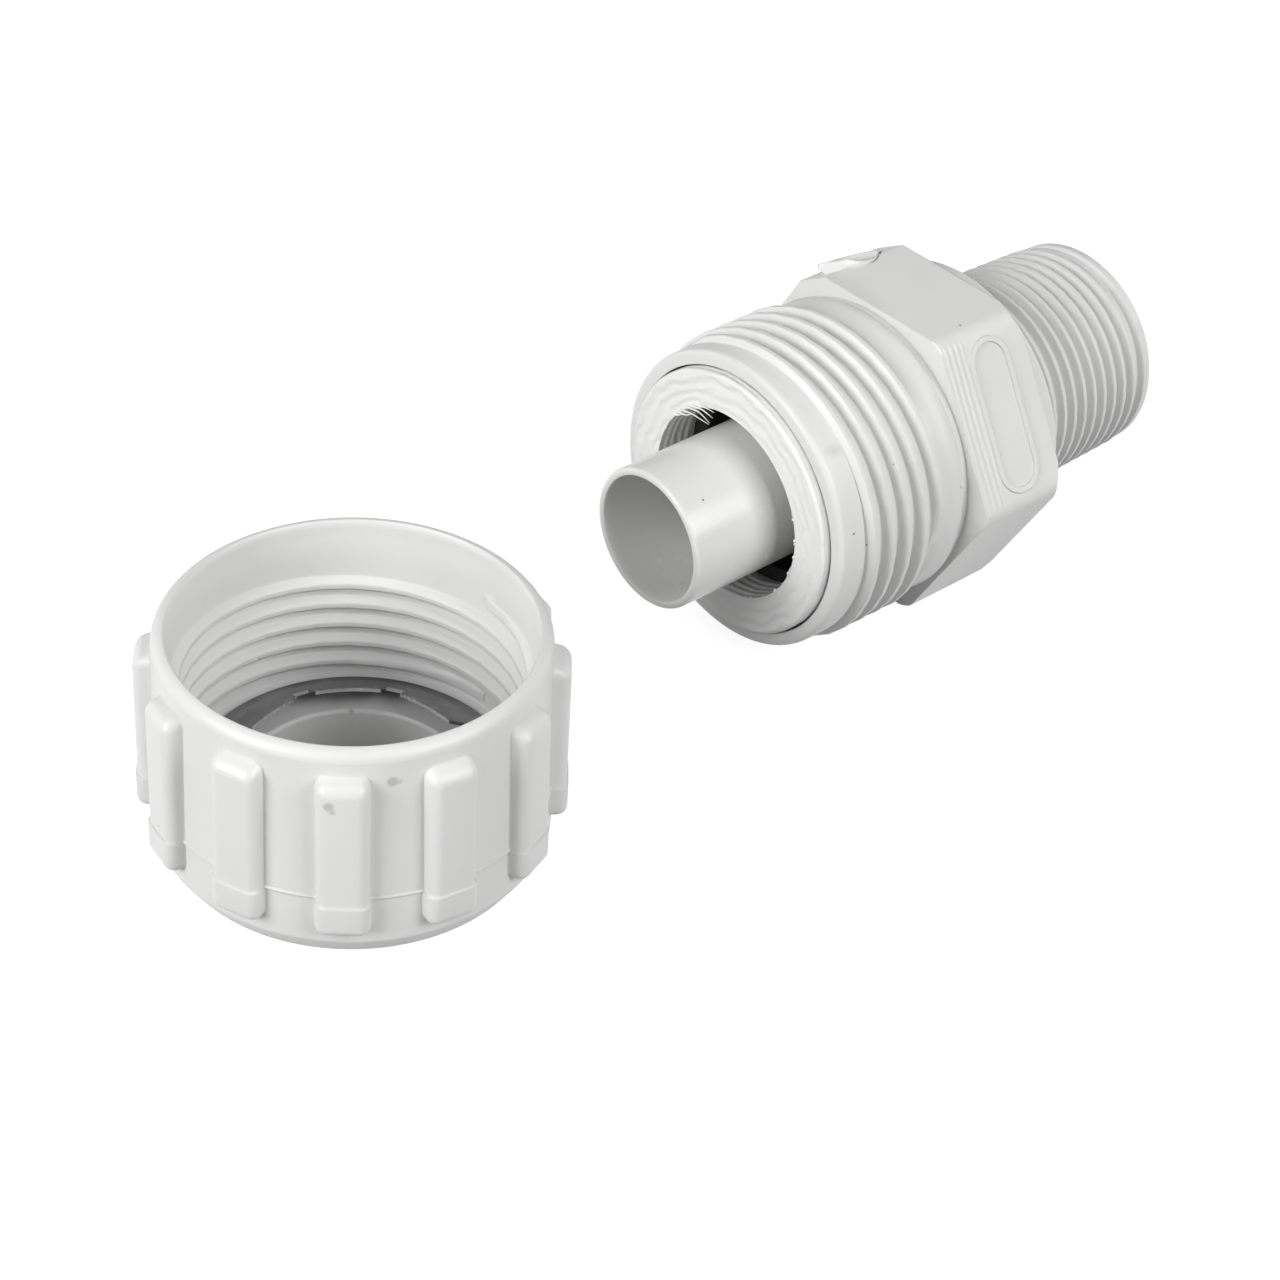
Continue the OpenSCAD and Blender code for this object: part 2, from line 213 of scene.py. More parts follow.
# %% Helpers for node groups
def new_group(name, into, out):
    """Makes a node group and gives its tree, its inputs and its outputs."""
    group = bpy.data.node_groups.new(name, "ShaderNodeTree")
    for in_out, sockets in (("INPUT", into), ("OUTPUT", out)):
        for socket, kind in sockets.items():
            group.interface.new_socket(name=socket, in_out=in_out, socket_type="NodeSocket" + kind)
    inputs = add_node(group, "NodeGroupInput", (-900, 0)).outputs
    outputs = add_node(group, "NodeGroupOutput", (900, 0)).inputs
    print("group", name, "from", list(into), "to", list(out))
    return group, inputs, outputs


def fade(tree, value, start, end, at, interpolation="LINEAR"):
    """Gives 1 up to start, falling to 0 at end."""
    made = add_node(
        tree, "ShaderNodeMapRange", at, interpolation_type=interpolation,
        From_Min=start, From_Max=end, To_Min=1.0, To_Max=0.0)
    join(tree, value, made.inputs["Value"])
    return made.outputs[0]


# %% Group for the skin of a moulding: its patterns
DOT_SCALE = 0.17
DOT_SHARE = 0.16

skin_takes = {"Point": "Vector", "Plastic": "Color"}
skin_takes.update({"Cloud": "Float", "Speck": "Float", "Base Gloss": "Float"})
skin_gives = {"Colour": "Color", "Roughness": "Float", "Height": "Float"}
skin, skin_in, skin_out = new_group("moulded_skin", skin_takes, skin_gives)
cloud = add_node(skin, "ShaderNodeTexNoise", (-600, 260), Scale=0.16, Detail=3.0, Roughness=0.55)
grain = add_node(skin, "ShaderNodeTexNoise", (-600, -60), Scale=3.2, Detail=3.0, Roughness=0.6)
sink = add_node(skin, "ShaderNodeTexNoise", (-600, -200), Scale=0.22, Detail=1.0, Roughness=0.5)
dots = add_node(skin, "ShaderNodeTexVoronoi", (-600, -340), Scale=DOT_SCALE)
for pattern in (cloud, grain, sink, dots):
    join(skin, skin_in["Point"], pattern.inputs["Vector"])
print("share of the dots that is dark:", DOT_SHARE)

# %% Group for the skin of a moulding: colour, gloss and height
DOT_COLOUR = (0.16, 0.15, 0.14, 1)
DOT_FULL, DOT_GONE = 0.012, 0.028
GLOSS_WANDERS = 0.22
SINK_OVER_GRAIN = 4.0

cloud_tone = compute(skin, "SUBTRACT", cloud.outputs[0], 0.5, at=(-380, 260))
cloud_part = compute(skin, "MULTIPLY_ADD", cloud_tone, skin_in["Cloud"], 1.0, at=(-200, 260))
tinted = add_node(skin, "ShaderNodeVectorMath", (0, 200), operation="SCALE")
join(skin, skin_in["Plastic"], tinted.inputs[0])
join(skin, cloud_part, tinted.inputs["Scale"])
dot_near = fade(skin, dots.outputs["Distance"], DOT_FULL, DOT_GONE, (-380, -340))
dot_number = add_node(skin, "ShaderNodeSeparateColor", (-560, -600))
join(skin, dots.outputs["Color"], dot_number.inputs[0])
dot_chosen = compute(skin, "LESS_THAN", dot_number.outputs[0], DOT_SHARE, at=(-380, -560))
dot_some = compute(skin, "MULTIPLY", dot_near, dot_chosen, at=(-200, -400))
dot_mask = compute(skin, "MULTIPLY", dot_some, skin_in["Speck"], at=(-20, -300))
specked = add_node(skin, "ShaderNodeMix", (240, 160), data_type="RGBA")
join(skin, dot_mask, specked.inputs[0])
join(skin, tinted.outputs[0], specked.inputs[6])
specked.inputs[7].default_value = DOT_COLOUR
join(skin, specked.outputs[2], skin_out["Colour"])
gloss = compute(
    skin, "MULTIPLY_ADD", cloud_tone, GLOSS_WANDERS, skin_in["Base Gloss"], at=(240, -60))
join(skin, gloss, skin_out["Roughness"])
relief = compute(
    skin, "MULTIPLY_ADD", sink.outputs[0], SINK_OVER_GRAIN, grain.outputs[0], at=(240, -220))
join(skin, relief, skin_out["Height"])
print("nodes in the skin group:", len(skin.nodes))

# %% [markdown]
# Two pieces carry the marks of a tool. The pusher ring was turned on a lathe, which
# leaves rings about its axis on the face and in the bore. One flat of the hexagon
# was scraped beside its raised frame. A wave along one direction draws both, so
# each becomes a small group that gives a height from a point in millimetres. A Bump
# node in the material turns that height into shading.

# %% Group for the rings of the lathe
tube_low, tube_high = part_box("insert_tube")
AXIS_Z = (tube_low.z + tube_high.z) / 2 / MM

lathe, lathe_in, lathe_out = new_group("lathe_rings", {"Point": "Vector"}, {"Height": "Float"})
centred = add_node(lathe, "ShaderNodeVectorMath", (-700, 0), operation="SUBTRACT")
centred.inputs[1].default_value = (0, 0, AXIS_Z)
join(lathe, lathe_in["Point"], centred.inputs[0])
face_rings = add_node(
    lathe, "ShaderNodeTexWave", (-460, 120), wave_type="RINGS", rings_direction="X",
    Scale=0.21, Distortion=7.0, Detail=4.0)
bore_rings = add_node(
    lathe, "ShaderNodeTexWave", (-460, -160), wave_type="BANDS", bands_direction="X",
    Scale=0.30, Distortion=1.4, Detail=3.0)
for rings in (face_rings, bore_rings):
    join(lathe, centred.outputs[0], rings.inputs["Vector"])
both_rings = compute(lathe, "ADD", face_rings.outputs[1], bore_rings.outputs[1], at=(-160, 0))
join(lathe, both_rings, lathe_out["Height"])
print("axis height in mm:", round(AXIS_Z, 2))

# %% Group for the scraped flat
FRAME_FLAT = Vector((0, -0.8660, 0.5))
FRAME_FLAT_R = 18.3
SCRAPE_FROM, SCRAPE_FADES, SCRAPE_ENDS = -6.2, -3.4, -2.6

scraped, scraped_in, scraped_out = new_group(
    "scraped_flat", {"Point": "Vector"}, {"Height": "Float"})
scrapes = add_node(
    scraped, "ShaderNodeTexWave", (-600, 120), wave_type="BANDS", bands_direction="X",
    Scale=0.36, Distortion=2.0, Detail=2.0, Detail_Scale=0.3)
join(scraped, scraped_in["Point"], scrapes.inputs["Vector"])
axes = add_node(scraped, "ShaderNodeSeparateXYZ", (-700, -160))
join(scraped, scraped_in["Point"], axes.inputs[0])
beside = fade(scraped, axes.outputs[0], SCRAPE_FADES, SCRAPE_ENDS, (-460, -160), "SMOOTHSTEP")
behind = compute(scraped, "GREATER_THAN", axes.outputs[0], SCRAPE_FROM, at=(-460, -420))
outwards = add_node(scraped, "ShaderNodeVectorMath", (-460, -600), operation="DOT_PRODUCT")
join(scraped, scraped_in["Point"], outwards.inputs[0])
outwards.inputs[1].default_value = FRAME_FLAT
on_flat = compute(
    scraped, "GREATER_THAN", outwards.outputs["Value"], FRAME_FLAT_R + FRAME_FLAT.z * AXIS_Z,
    at=(-260, -600))
held = beside
for limit in (behind, on_flat, scrapes.outputs[1]):
    held = compute(scraped, "MULTIPLY", held, limit, at=(0, -300))
join(scraped, held, scraped_out["Height"])
print("scraped from", SCRAPE_FROM, "to", SCRAPE_ENDS, "mm along the axis")

# %% [markdown]
# Some specks sit where the photograph shows them. A small group answers one
# question: how near is this point to a given place? A material asks it once for
# each speck and darkens its colour there.

# %% Group for one speck at a given place
SPECK_CORE = 0.4

one_speck, speck_in, speck_out = new_group(
    "one_speck", {"Point": "Vector", "Place": "Vector", "Size": "Float"}, {"Mask": "Float"})
reach = add_node(one_speck, "ShaderNodeVectorMath", (-460, 0), operation="DISTANCE")
join(one_speck, speck_in["Point"], reach.inputs[0])
join(one_speck, speck_in["Place"], reach.inputs[1])
share = compute(one_speck, "DIVIDE", reach.outputs["Value"], speck_in["Size"], at=(-240, 0))
soft_mask = fade(one_speck, share, SPECK_CORE, 1.0, (0, 0), "SMOOTHSTEP")
join(one_speck, soft_mask, speck_out["Mask"])
print("a speck is full up to", SPECK_CORE, "of its size")

# %% [markdown]
# Each plastic is then one material: the group gives the colour, the gloss and the
# grain, a Bump node turns the grain into tiny hollows, and the shader itself sits
# in the material. A Bevel node rounds the edges a little, as a mould does. White
# plastic lets some light in, so it gets a thin subsurface layer, which softens the
# thread valleys, as on the real part.


# %% Points in millimetres, and a material's shader
def millimetres(tree, centre=(0, 0, 0)):
    """The point on the piece in millimetres, counted from centre in metres."""
    place = add_node(tree, "ShaderNodeTexCoord", (-1100, 0))
    to_mm = add_node(
        tree, "ShaderNodeMapping", (-900, 0),
        Location=tuple(-c / MM for c in centre), Scale=(1 / MM, 1 / MM, 1 / MM))
    join(tree, place.outputs["Object"], to_mm.inputs["Vector"])
    return to_mm.outputs[0]


def new_look(name, **settings):
    """A material whose shader has the given settings: material, tree and shader."""
    look = bpy.data.materials.new(name)
    look.use_nodes = True
    tree = look.node_tree
    tree.nodes.clear()
    shader = add_node(tree, "ShaderNodeBsdfPrincipled", (0, 0), **settings)
    out = add_node(tree, "ShaderNodeOutputMaterial", (320, 0))
    join(tree, shader.outputs[0], out.inputs["Surface"])
    print("material", name, settings)
    return look, tree, shader


def bump_on(tree, height, normal, strength, depth_mm, at):
    """A Bump node on a height, and on a normal where one is given."""
    made = add_node(tree, "ShaderNodeBump", at, Strength=strength, Distance=depth_mm * MM)
    join(tree, height, made.inputs["Height"])
    if normal:
        join(tree, normal, made.inputs["Normal"])
    return made.outputs[0]


# %% Materials of the plastics
def add_specks(tree, point, tone, specks, speck_tone):
    """Darkens the socket tone at each speck, given as x, y, z and size in mm."""
    for number, (*place, size) in enumerate(specks):
        height = 300 + 180 * number
        near = add_node(
            tree, "ShaderNodeGroup", (-640, height), node_tree=one_speck, Place=place, Size=size)
        join(tree, point, near.inputs["Point"])
        darker = add_node(tree, "ShaderNodeMix", (-340, height), data_type="RGBA")
        join(tree, near.outputs[0], darker.inputs[0])
        join(tree, tone, darker.inputs[6])
        darker.inputs[7].default_value = (speck_tone, speck_tone, 0.97 * speck_tone, 1)
        tone = darker.outputs[2]
    return tone


def plastic(name, colour, cloud, speck, gloss, grain_mm, round_mm,
            cuts=None, cut_mm=0, specks=(), speck_tone=0.16):
    """White moulded plastic with its own tone, gloss, grain and edge rounding."""
    look, tree, shader = new_look(
        name, IOR=1.5, Subsurface_Weight=0.12, Subsurface_Radius=(1, 1, 1),
        Subsurface_Scale=0.8 * MM)
    point = millimetres(tree)
    marks = add_node(tree, "ShaderNodeGroup", (-640, 0), node_tree=skin)
    join(tree, point, marks.inputs["Point"])
    for socket, value in zip(marks.inputs[1:], ((*colour, 1), cloud, speck, gloss)):
        socket.default_value = value
    soft_edge = add_node(tree, "ShaderNodeBevel", (-640, -300), samples=6, Radius=round_mm * MM)
    normal = soft_edge.outputs[0]
    if cuts:
        cut = add_node(tree, "ShaderNodeGroup", (-640, -520), node_tree=cuts)
        join(tree, point, cut.inputs["Point"])
        normal = bump_on(
            tree, cut.outputs["Height"], normal, strength=0.6, depth_mm=cut_mm, at=(-560, -340))
    normal = bump_on(
        tree, marks.outputs["Height"], normal, strength=0.5, depth_mm=grain_mm, at=(-380, -200))
    tone = add_specks(tree, point, marks.outputs["Colour"], specks, speck_tone)
    join(tree, tone, shader.inputs["Base Color"])
    join(tree, marks.outputs["Roughness"], shader.inputs["Roughness"])
    join(tree, normal, shader.inputs["Normal"])
    return look


# %% The four plastics and their specks
BODY_SPECKS = [
    (-24.9, -17.6, 22.8, 0.22), (-22.8, -17.8, 20.5, 0.16),
    (-1.2, -8.9, 37.0, 0.20), (29.0, -12.3, 24.3, 0.26)]
TUBE_SPECKS = [(-36.5, -5.1, 25.3, 0.20), (-39.6, -4.4, 25.9, 0.12)]
NUT_SPECKS = [
    (-98.4, -18.4, 21.2, 0.75), (-97.9, -18.4, 20.5, 0.55), (-92.0, -20.5, 22.7, 0.80),
    (-91.2, -20.5, 22.6, 0.60), (-75.5, 8.1, 5.9, 0.45)]

body_plastic = plastic(
    "body_plastic", (0.71, 0.71, 0.705), cloud=0.05, speck=0.6, gloss=0.40,
    grain_mm=0.016, round_mm=0.25, cuts=scraped, cut_mm=0.09, specks=BODY_SPECKS)
tube_plastic = plastic(
    "tube_plastic", (0.685, 0.685, 0.678), cloud=0.03, speck=0.5, gloss=0.24,
    grain_mm=0.004, round_mm=0.15, specks=TUBE_SPECKS)
ring_plastic = plastic(
    "ring_plastic", (0.80, 0.80, 0.795), cloud=0.06, speck=0.6, gloss=0.50,
    grain_mm=0.016, round_mm=0.20, cuts=lathe, cut_mm=0.22)
nut_plastic = plastic(
    "nut_plastic", (0.71, 0.71, 0.705), cloud=0.05, speck=0.7, gloss=0.42,
    grain_mm=0.014, round_mm=0.30, specks=NUT_SPECKS, speck_tone=0.50)

# %% [markdown]
# The seal is matt black rubber with a trace of powder on it. The grip ring is
# pressed from spring steel: a metal with fine rings from brushing, which spread its
# gloss, and slow stains, which vary its tone. It lies deep in the nut, so its base
# tone is darkened with painted shade.


# %% Rubber and spring steel
def two_tones(tree, pattern, dark, light, at):
    """Runs a pattern from a dark to a light colour."""
    ramp = add_node(tree, "ShaderNodeValToRGB", at)
    ramp.color_ramp.elements[0].color = (*dark, 1)
    ramp.color_ramp.elements[1].color = (*light, 1)
    join(tree, pattern, ramp.inputs[0])
    return ramp.outputs[0]


def rubber(name):
    """Matt black rubber with a fine powdery grain."""
    look, tree, shader = new_look(name, Roughness=0.55)
    dust = add_node(tree, "ShaderNodeTexNoise", (-520, 0), Scale=2.0, Detail=4.0)
    join(tree, millimetres(tree), dust.inputs["Vector"])
    tone = two_tones(
        tree, dust.outputs[0], dark=(0.006, 0.006, 0.006), light=(0.03, 0.03, 0.03), at=(-320, 0))
    join(tree, tone, shader.inputs["Base Color"])
    normal = bump_on(tree, dust.outputs[0], None, strength=1.0, depth_mm=0.02, at=(-200, -260))
    join(tree, normal, shader.inputs["Normal"])
    return look


def brushed_steel(name, centre):
    """Spring steel with fine rings of brushing about the middle of the piece."""
    look, tree, shader = new_look(name, Metallic=1.0)
    point = millimetres(tree, centre)
    brushing = add_node(
        tree, "ShaderNodeTexWave", (-680, 120), wave_type="RINGS", rings_direction="Z",
        Scale=2.6, Distortion=2.2, Detail=3.0)
    stain = add_node(tree, "ShaderNodeTexNoise", (-680, -160), Scale=0.35, Detail=3.0)
    for pattern in (brushing, stain):
        join(tree, point, pattern.inputs["Vector"])
    # Both ends of this tone are kept low as painted shade of the deep nut; the stain noise varies
    # the tone between them.
    tone = two_tones(
        tree, stain.outputs[0], dark=(0.14, 0.14, 0.15), light=(0.36, 0.36, 0.37), at=(-420, -160))
    join(tree, tone, shader.inputs["Base Color"])
    rough = add_node(tree, "ShaderNodeMapRange", (-420, 120), To_Min=0.20, To_Max=0.34)
    join(tree, brushing.outputs[1], rough.inputs["Value"])
    join(tree, rough.outputs[0], shader.inputs["Roughness"])
    normal = bump_on(tree, brushing.outputs[1], None, strength=0.35, depth_mm=0.01, at=(-200, -360))
    join(tree, normal, shader.inputs["Normal"])
    return look


nut_low, nut_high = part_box("coupling_nut")
NUT_MIDDLE = (nut_low + nut_high) / 2
seal_rubber = rubber("seal_rubber")
grip_steel = brushed_steel("grip_steel", NUT_MIDDLE)
print("nut middle in mm:", [round(v / MM, 1) for v in NUT_MIDDLE])

# %% [markdown]
# The CAD nodes come as loose triangles, each flat. A real moulding is smooth and
# breaks only at its edges. So each node is copied, the copy's corners are merged,
# and edges below a set angle are shaded smooth. The node itself isn't touched. Its
# copy stands for it in the picture.


# %% Helpers for shaping
def alone(*things):
    """Selects only these pieces and makes the first one active."""
    bpy.ops.object.select_all(action="DESELECT")
    for thing in things:
        thing.select_set(True)
    bpy.context.view_layer.objects.active = things[0]


def settle(piece):
    """Moves a piece's place and turn into its mesh."""
    alone(piece)
    bpy.ops.object.transform_apply(location=True, rotation=True, scale=True)
    return piece


def done():
    """Goes back to object mode."""
    bpy.ops.object.mode_set(mode="OBJECT")


def pick(piece, mode, test):
    """Opens edit mode with only those corners, edges or faces selected that pass."""
    alone(piece)
    mesh = piece.data
    bpy.ops.object.mode_set(mode="EDIT")
    bpy.ops.mesh.select_mode(type=mode)
    bpy.ops.mesh.select_all(action="DESELECT")
    done()
    if mode == "VERT":
        for corner in mesh.vertices:
            corner.select = test(corner.co)
    elif mode == "EDGE":
        for edge in mesh.edges:
            edge.select = test(*(mesh.vertices[i].co for i in edge.vertices))
    else:
        for face in mesh.polygons:
            face.select = test(face.center)
    bpy.ops.object.mode_set(mode="EDIT")


# %% Smooth skins of the six pieces
MERGE = 0.002 * MM
# Degrees below which an edge is shaded smooth
MOULDED_EDGE, TURNED_EDGE = 40, 30


def moulded_copy(node, name, look, smooth_angle):
    """A merged and smoothed copy of a CAD node that stands for it."""
    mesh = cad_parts[node].data.copy()
    mesh.name = name
    piece = bpy.data.objects.new(name, mesh)
    bpy.context.scene.collection.objects.link(piece)
    alone(piece)
    bpy.ops.object.mode_set(mode="EDIT")
    bpy.ops.mesh.select_all(action="SELECT")
    bpy.ops.mesh.remove_doubles(threshold=MERGE)
    bpy.ops.mesh.dissolve_degenerate(threshold=MERGE)
    done()
    if mesh.has_custom_normals:
        bpy.ops.mesh.customdata_custom_splitnormals_clear()
    bpy.ops.object.shade_smooth_by_angle(angle=math.radians(smooth_angle))
    mesh.materials.clear()
    mesh.materials.append(look)
    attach(piece, "root")
    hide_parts(node)
    print(name, len(mesh.vertices), "corners", len(mesh.polygons), "faces")
    return piece


adapter = moulded_copy(
    "adapter_body", "adapter_moulding", body_plastic, MOULDED_EDGE)
moulded_copy("insert_tube", "tube_moulding", tube_plastic, MOULDED_EDGE)
pusher = moulded_copy("pusher_ring", "pusher_turned", ring_plastic, TURNED_EDGE)
seal = moulded_copy("seal_ring", "seal_moulded", seal_rubber, TURNED_EDGE)
nut = moulded_copy("coupling_nut", "nut_moulding", nut_plastic, MOULDED_EDGE)
moulded_copy("grip_ring", "grip_pressed", grip_steel, TURNED_EDGE)

# %% [markdown]
# The nut's outside is what a hand feels: twelve ribs with soft corners, a wall with
# draft and the fine line where the two halves of the mould met. The solid has the
# ribs with plain bevels. Here the outer wall is cut off the skin and made again: a
# cone for the wall, a thin torus for the mould line, and one rib that is shaped,
# bevelled and copied round. The rim, the threads and the floor stay as they are.

# %% Measures of the nut in millimetres
NUT_X, NUT_Y, NUT_Z = NUT_MIDDLE.x, NUT_MIDDLE.y, nut_low.z
WALL_FOOT, WALL_TOP = 2.4, 25.55
FOOT_R, TOP_R = 21.4, 21.0
INSIDE_WALL_R, OUTSIDE_WALL_R = 20.3, 21.5
PARTING = 8.2


def from_nut_axis(point):
    """Distance from the axis of the nut in millimetres."""
    return math.hypot(point.x - NUT_X, point.y - NUT_Y) / MM


def above_base(point):
    """Height over the base of the nut in millimetres."""
    return (point.z - NUT_Z) / MM


print("nut stands", round(above_base(nut_high), 1), "mm high")

# %% Cut the outer wall off the nut's skin
EDGE_SPARE = 0.02


def on_old_wall(centre):
    """True for a face of the outer wall or its ribs, between the foot and the rim."""
    between = WALL_FOOT + EDGE_SPARE < above_base(centre) < WALL_TOP - EDGE_SPARE
    return between and from_nut_axis(centre) > INSIDE_WALL_R


pick(nut, "FACE", on_old_wall)
bpy.ops.mesh.delete(type="FACE")
done()
print("faces left in the nut's skin:", len(nut.data.polygons))

# %% New wall and mould line
ROUND_SIDES = 192
LINE_R = 0.17

bpy.ops.object.select_all(action="DESELECT")
bpy.ops.mesh.primitive_cone_add(
    vertices=ROUND_SIDES, radius1=FOOT_R * MM, radius2=TOP_R * MM,
    depth=(WALL_TOP - WALL_FOOT) * MM, end_fill_type="NOTHING",
    location=(NUT_X, NUT_Y, NUT_Z + (WALL_TOP + WALL_FOOT) / 2 * MM))
wall = settle(bpy.context.active_object)
wall_at_parting = FOOT_R - (FOOT_R - TOP_R) * (PARTING - WALL_FOOT) / (WALL_TOP - WALL_FOOT)
bpy.ops.object.select_all(action="DESELECT")
bpy.ops.mesh.primitive_torus_add(
    major_segments=ROUND_SIDES, minor_segments=8, major_radius=wall_at_parting * MM,
    minor_radius=LINE_R * MM, location=(NUT_X, NUT_Y, NUT_Z + PARTING * MM))
mould_line = settle(bpy.context.active_object)
print("wall radius at the mould line:", round(wall_at_parting, 2), "mm")

# %% One rib, in two lengths that meet at the mould line
RIB_IN = 20.4
RIB_LOW, RIB_HIGH = 4.15, 24.35
RIB_SLOPE = 0.75
RIB_ROUND = 1.15


def rib_block(r_out, width, low, high, narrowing):
    """A block at the nut's +X side that narrows from inside the wall to r_out."""
    bpy.ops.object.select_all(action="DESELECT")
    place = (NUT_X + (RIB_IN + r_out) / 2 * MM, NUT_Y, NUT_Z + (low + high) / 2 * MM)
    bpy.ops.mesh.primitive_cube_add(size=1, location=place)
    block = bpy.context.active_object
    block.scale = ((r_out - RIB_IN) * MM, width * MM, (high - low) * MM)
    settle(block)
    pick(block, "VERT", lambda v: from_nut_axis(v) > OUTSIDE_WALL_R)
    bpy.ops.transform.resize(value=(1, narrowing, 1), center_override=(NUT_X, NUT_Y, NUT_Z))
    done()
    return block


def round_off(block, test):
    """Rounds the edges of a block that reach out of the wall and pass the test."""
    def chosen(a, b):
        reach = max(from_nut_axis(a), from_nut_axis(b))
        return reach > OUTSIDE_WALL_R and test(above_base(a), above_base(b))

    pick(block, "EDGE", chosen)
    bpy.ops.mesh.bevel(offset=RIB_ROUND * MM, segments=6, affect="EDGES")
    done()


upper = rib_block(22.90, 5.70, PARTING - 0.1, RIB_HIGH, 0.94)
pick(upper, "VERT", lambda v: above_base(v) > PARTING and from_nut_axis(v) > OUTSIDE_WALL_R)
bpy.ops.transform.translate(value=(0, 0, -RIB_SLOPE * MM))
done()
round_off(upper, lambda a, b: max(a, b) > PARTING)
lower = rib_block(23.08, 6.00, RIB_LOW, PARTING, 0.95)
round_off(lower, lambda a, b: min(a, b) < PARTING - 0.2)
print("rib faces:", len(upper.data.polygons), "and", len(lower.data.polygons))

# %% Twelve ribs round the nut, joined to its skin
RIBS, FIRST_RIB = 12, math.radians(19.9)

ribs = []
for k in range(RIBS):
    turn = Matrix.Rotation(FIRST_RIB + math.tau * k / RIBS, 4, "Z")
    to_axis = Matrix.Translation((NUT_X, NUT_Y, 0))
    for block in (upper, lower):
        twin = block.copy()
        twin.data = block.data.copy()
        twin.data.transform(to_axis @ turn @ to_axis.inverted())
        bpy.context.scene.collection.objects.link(twin)
        ribs.append(twin)
for block in (upper, lower):
    bpy.data.objects.remove(block)
for part in (wall, mould_line, *ribs):
    part.data.materials.clear()
    part.data.materials.append(nut_plastic)
alone(nut, wall, mould_line, *ribs)
bpy.ops.object.join()
bpy.ops.object.shade_smooth_by_angle(angle=math.radians(MOULDED_EDGE))
print("nut skin now has", len(nut.data.polygons), "faces")

# %% [markdown]
# Through the gap round the insert tube one sees how thin the pusher ring is, and the
# black seal right behind it. The rings of the solid meet further back. The copies
# are therefore moved at their hidden ends only: the back of the pusher ring comes
# forward and the front of the seal follows it.

# %% Bring the seal forward to the back of the pusher ring
pusher_low, pusher_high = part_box("pusher_ring")
PUSHER_X, SEAL_X = pusher_low.x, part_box("seal_ring")[0].x
# Along the ring in millimetres: its new length, its back and the step in its bore
RING_LENGTH, RING_BACK, STEP_START, STEP_END = 6.0, 9, 6.5, 8
STEP_FORWARD, SEAL_FRONT = 2.4, 2
BACK_X = PUSHER_X + RING_LENGTH * MM


def slide(piece, low, high, distance):
    """Moves the corners between two places along the axis, all in metres."""
    pick(piece, "VERT", lambda v: low < v.x < high)
    bpy.ops.transform.translate(value=(distance, 0, 0))
    done()


slide(pusher, PUSHER_X + RING_BACK * MM, pusher_high.x + MM, BACK_X - pusher_high.x)
slide(pusher, PUSHER_X + STEP_START * MM, PUSHER_X + STEP_END * MM, -STEP_FORWARD * MM)
slide(seal, SEAL_X - MM, SEAL_X + SEAL_FRONT * MM, BACK_X - SEAL_X)
print("seal starts", round(BACK_X / MM, 2), "mm along the axis")

# %% [markdown]
# The pusher ring was cut off roughly. Its bore has a torn edge with crumbs on it,
# and a few curled hairs of plastic hang over the gap at the top. The hairs are
# curves with a round section that thins to a point, which is how one would draw a
# thread by hand. The crumbs are small balls pulled out of round.

# %% Curled hairs of plastic on the bore
BORE_R = 11.65
HAIR_R = 0.15
ROOT_SHARE, TIP_SHARE = 1.15, 0.25
# Each stop of a hair: degrees from the top, then millimetres outwards and forwards
HAIRS = [
    [(48, 0.3, 0.05), (41, -0.5, 0.35), (35, -0.7, 0.55), (29, -0.4, 0.45)],
    [(44, 0.2, 0.05), (37, -0.2, 0.50), (30, -0.6, 0.70), (24, -1.4, 0.50), (21, -2.0, 0.10)],
    [(38, 0.2, 0.05), (31, 0.0, 0.45), (25, -0.3, 0.60), (20, -1.0, 0.60), (18, -1.7, 0.35)],
    [(33, 0.3, 0.05), (28, 0.1, 0.40), (23, 0.0, 0.45), (18, -0.6, 0.35), (16, -1.1, 0.10)],
    [(52, 0.2, 0.02), (47, -0.3, 0.20), (42, -0.4, 0.30)],
    [(29, 0.2, 0.03), (24, 0.2, 0.25), (19, 0.1, 0.25), (14, -0.3, 0.15)],
]


def on_bore(angle, out, forward):
    """A point at the front edge of the bore. The angle turns from the top to +Y."""
    a = math.radians(angle)
    r = BORE_R + out
    return Vector((PUSHER_X / MM - forward, r * math.sin(a), AXIS_Z + r * math.cos(a))) * MM


shreds = []
for number, route in enumerate(HAIRS):
    line = bpy.data.curves.new(f"hair_{number}", "CURVE")
    line.dimensions = "3D"
    line.bevel_depth = HAIR_R * MM
    line.bevel_resolution = 3
    line.use_fill_caps = True
    line.resolution_u = 8
    spline = line.splines.new("NURBS")
    spline.points.add(len(route) - 1)
    for i, (point, stop) in enumerate(zip(spline.points, route)):
        point.co = (*on_bore(*stop), 1)
        point.radius = ROOT_SHARE + (TIP_SHARE - ROOT_SHARE) * i / (len(route) - 1)
    spline.order_u = 3
    spline.use_endpoint_u = True
    hair = bpy.data.objects.new(f"hair_{number}", line)
    bpy.context.scene.collection.objects.link(hair)
    alone(hair)
    bpy.ops.object.convert(target="MESH")
    shreds.append(bpy.context.active_object)
print("hairs:", len(shreds))

# %% Crumbs along the torn edge
CRUMB_ANGLES = [-68, -71, -84, -86, -95, -103, -105, -108, -118, -127, -129, -141, -152, 62, 66, 78]
CRUMB_R, CRUMB_R_MORE = 0.09, 0.13

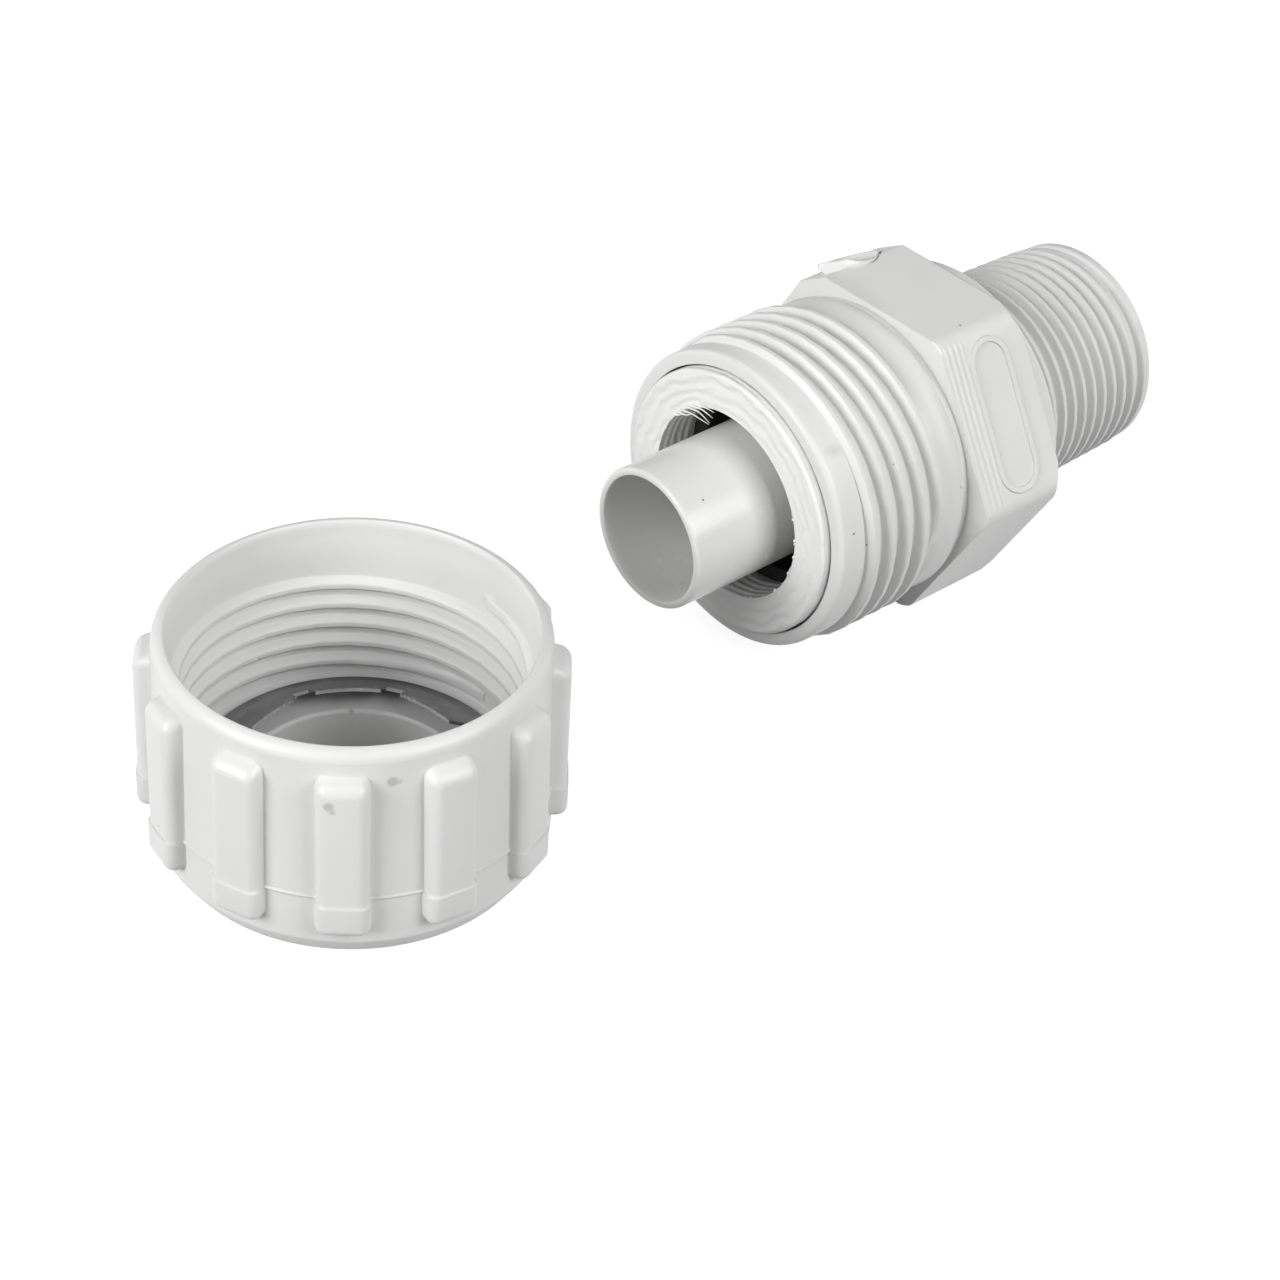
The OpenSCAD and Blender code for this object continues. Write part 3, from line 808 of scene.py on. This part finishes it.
for number, angle in enumerate(CRUMB_ANGLES):
    bpy.ops.object.select_all(action="DESELECT")
    size = (CRUMB_R + CRUMB_R_MORE * ((number * 7) % 5) / 4) * MM
    place = on_bore(angle, 0.02, 0.0)
    bpy.ops.mesh.primitive_ico_sphere_add(subdivisions=2, radius=size, location=place)
    crumb = bpy.context.active_object
    crumb.scale = (0.8, 1.0 + 0.5 * (number % 2), 1.4 - 0.5 * (number % 3) / 2)
    crumb.rotation_euler = (math.radians(37 * number), 0, math.radians(23 * number))
    shreds.append(settle(crumb))
alone(*shreds)
bpy.ops.object.join()
torn_edge = bpy.context.active_object
torn_edge.name = torn_edge.data.name = "torn_edge"
torn_edge.data.materials.clear()
torn_edge.data.materials.append(ring_plastic)
settle(torn_edge)
bpy.ops.object.shade_smooth()
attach(torn_edge, "root")
print("torn edge:", len(torn_edge.data.polygons), "faces")

# %% [markdown]
# The gate is where the plastic flowed in. When it was torn off it left a thin lip,
# high at its pointed front end and fading out towards the rear, with a dark hollow
# inside. The solid has that lip at one height. On the copy the lip is tilted about
# its front end, so that its rear sinks into the hexagon, and the front is drawn
# together into a point.

# %% Tilt the torn gate and point its front
GATE_R = 20.05
GATE_UP = Vector((0, 0.5, 0.8660))
GATE_TILT = math.radians(-7)
GATE_SPARE = 0.03
TILT_FROM, TIP_TO, REAR_FROM = -4.4, -3.6, 3.0
TIP_WIDTH = 0.35
TIP_MOVE = (-0.5 * MM, 0.1 * MM, 0.15 * MM)


def over_corner(point):
    """Height over the trimmed corner in millimetres."""
    return (point / MM - Vector((0, 0, AXIS_Z))).dot(GATE_UP) - GATE_R


def on_gate(point, low=-9.0, high=9.0):
    """True on the gate between two places along the axis, in millimetres."""
    return over_corner(point) > GATE_SPARE and low < point.x / MM < high


corner_axes = {
    "orient_type": "GLOBAL",
    "orient_matrix": Matrix.Rotation(math.radians(-30), 3, "X"),
    "orient_matrix_type": "GLOBAL",
    "center_override": Vector((-4.9, 0.5 * GATE_R - 0.35, AXIS_Z + 0.866 * GATE_R - 0.6)) * MM,
}
pick(adapter, "VERT", lambda v: on_gate(v, low=TILT_FROM))
bpy.ops.transform.rotate(value=GATE_TILT, orient_axis="Y", **corner_axes)
done()
pick(adapter, "VERT", lambda v: on_gate(v, high=TIP_TO))
print("corners in the tip:", adapter.data.total_vert_sel)
bpy.ops.transform.resize(value=(1, TIP_WIDTH, 1), **corner_axes)
bpy.ops.transform.translate(value=TIP_MOVE)
done()
rear = [over_corner(v.co) for v in adapter.data.vertices if on_gate(v.co, low=REAR_FROM)]
print("gate height at the rear:", round(max(rear), 2), "mm")

# %% [markdown]
# A small nib of plastic was left on the collar, close to the hexagon. It is a ball
# pressed a little flat and half sunk in the skin.

# %% Small nib on the collar
NIB_AT = (-7.75 * MM, -17.75 * MM, 22.35 * MM)
NIB_R = 0.42

bpy.ops.object.select_all(action="DESELECT")
bpy.ops.mesh.primitive_ico_sphere_add(subdivisions=3, radius=NIB_R * MM, location=NIB_AT)
nib = bpy.context.active_object
nib.scale = (0.8, 0.9, 1.0)
settle(nib)
nib.name = nib.data.name = "mould_nib"
nib.data.materials.append(body_plastic)
bpy.ops.object.shade_smooth()
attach(nib, "root")
print("nib", len(nib.data.polygons), "faces")
